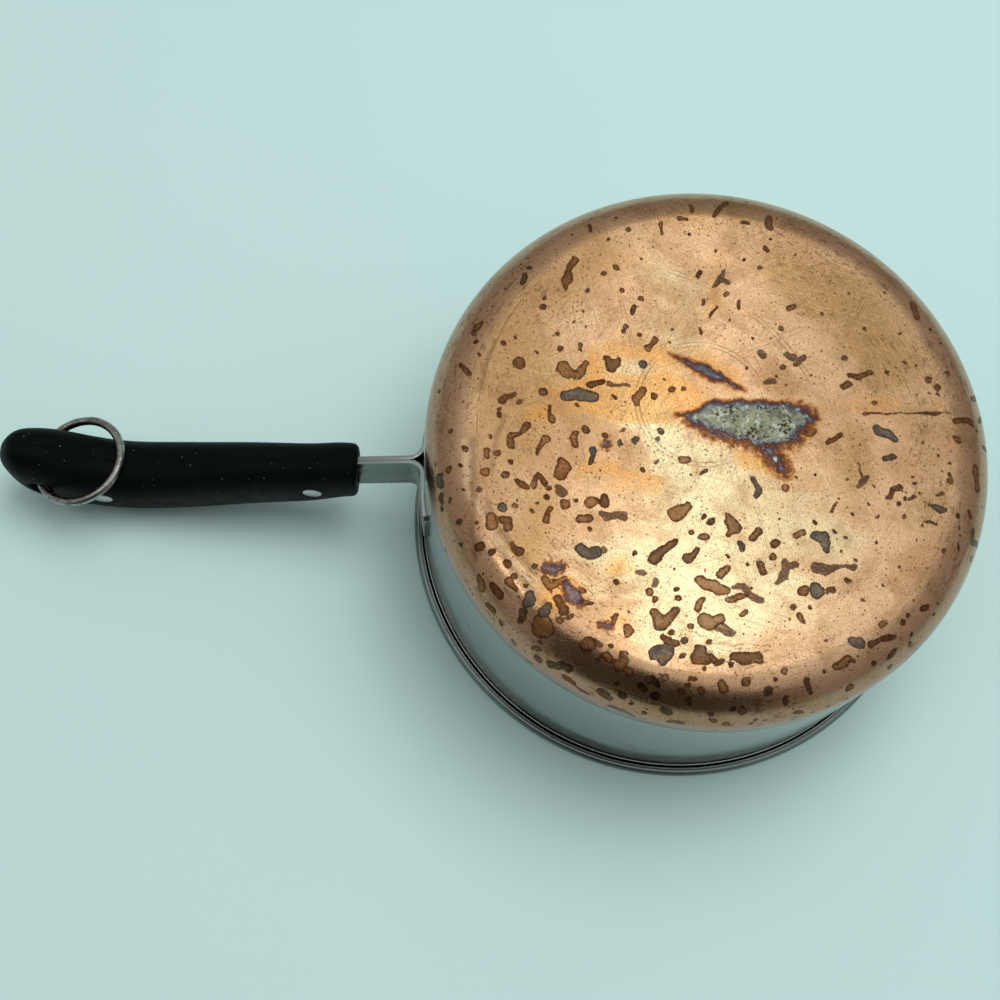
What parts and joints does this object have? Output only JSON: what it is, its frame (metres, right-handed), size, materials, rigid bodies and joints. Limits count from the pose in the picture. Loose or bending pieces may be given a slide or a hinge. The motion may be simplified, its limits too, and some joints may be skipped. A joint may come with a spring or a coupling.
{
  "type": "saucepan",
  "caption": "Copper-bottomed stainless steel saucepan standing mouth down, with a flat riveted black handle and a hanging ring that swings.",
  "frame": {"origin": "on the vessel's axis, in the plane of the mouth, where the rim stands on the table", "axes": "+Z from the mouth up to the copper base, as the pan stands in the picture (turn it 180 degrees about X for use); the handle runs out along -X; +Y completes the frame"},
  "size_m": [0.3585, 0.2032, 0.101],
  "materials": {
    "vessel_steel": "polished stainless steel sheet",
    "copper": "copper plating, brown with spots and one heat stain",
    "bracket_steel": "brushed stainless steel strip",
    "handle_plastic": "black phenolic, dull with dust and fine scratches",
    "rivet_metal": "dull grey metal",
    "ring_nickel": "nickel-plated wire, a little worn"
  },
  "bodies": {
    "pan": {"vessel": "vessel_steel", "copper_base": "copper", "near_bracket": "bracket_steel", "far_bracket": "bracket_steel", "near_grip": "handle_plastic", "far_grip": "handle_plastic", "front_rivet": "rivet_metal", "rear_rivet": "rivet_metal"},
    "ring": {"hanging_ring": "ring_nickel"}
  },
  "joints": [
    {"name": "ring_swing", "type": "hinge", "parent": "pan", "child": "ring", "pos_m": [-0.2424, 0, 0.0249], "axis": [0, -1, 0], "range_deg": [0, 212]}
  ]
}
